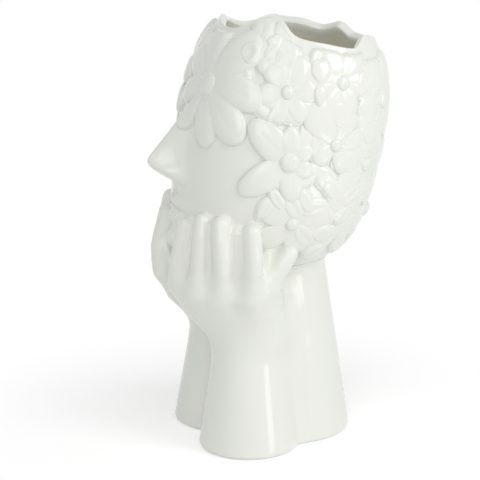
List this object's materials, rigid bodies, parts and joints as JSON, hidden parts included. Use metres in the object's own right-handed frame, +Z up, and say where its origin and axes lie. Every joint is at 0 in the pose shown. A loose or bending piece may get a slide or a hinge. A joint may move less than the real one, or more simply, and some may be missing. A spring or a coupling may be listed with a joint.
{
  "type": "ceramic head vase",
  "caption": "Glazed white ceramic vase shaped as a tilted head held in two hands, with a cap of relief flowers and an open scalloped crown, for holding stems or a plant.",
  "frame": {"origin": "on the table, in the flat underside of the neck's foot, midway between the sides and close to the middle of the three-lobed footprint", "axes": "+Z up, the face looks towards -Y, the figure's left side is +X"},
  "size_m": [0.119, 0.1435, 0.2536],
  "materials": {
    "white_glaze": "gloss"
  },
  "bodies": {
    "root": {"back_left_disc": "white_glaze", "back_left_petals": "white_glaze", "back_lower_disc": "white_glaze", "back_lower_petals": "white_glaze", "back_middle_disc": "white_glaze", "back_middle_petals": "white_glaze", "back_right_disc": "white_glaze", "back_right_petals": "white_glaze", "head_shell": "white_glaze", "left_back_disc": "white_glaze", "left_back_petals": "white_glaze", "left_brow_disc": "white_glaze", "left_brow_petals": "white_glaze", "left_cheek_disc": "white_glaze", "left_cheek_petals": "white_glaze", "left_crown_disc": "white_glaze", "left_crown_petals": "white_glaze", "left_eye_disc": "white_glaze", "left_eye_petals": "white_glaze", "left_forearm": "white_glaze", "left_hand": "white_glaze", "left_nape_disc": "white_glaze", "left_nape_petals": "white_glaze", "left_rim_disc": "white_glaze", "left_rim_petals": "white_glaze", "left_side_disc": "white_glaze", "left_side_petals": "white_glaze", "left_temple_disc": "white_glaze", "left_temple_petals": "white_glaze", "neck": "white_glaze", "right_back_disc": "white_glaze", "right_back_petals": "white_glaze", "right_cheek_disc": "white_glaze", "right_cheek_petals": "white_glaze", "right_crown_disc": "white_glaze", "right_crown_petals": "white_glaze", "right_eye_disc": "white_glaze", "right_eye_petals": "white_glaze", "right_forearm": "white_glaze", "right_hand": "white_glaze", "right_nape_disc": "white_glaze", "right_nape_petals": "white_glaze", "right_temple_disc": "white_glaze", "right_temple_petals": "white_glaze"}
  },
  "joints": []
}
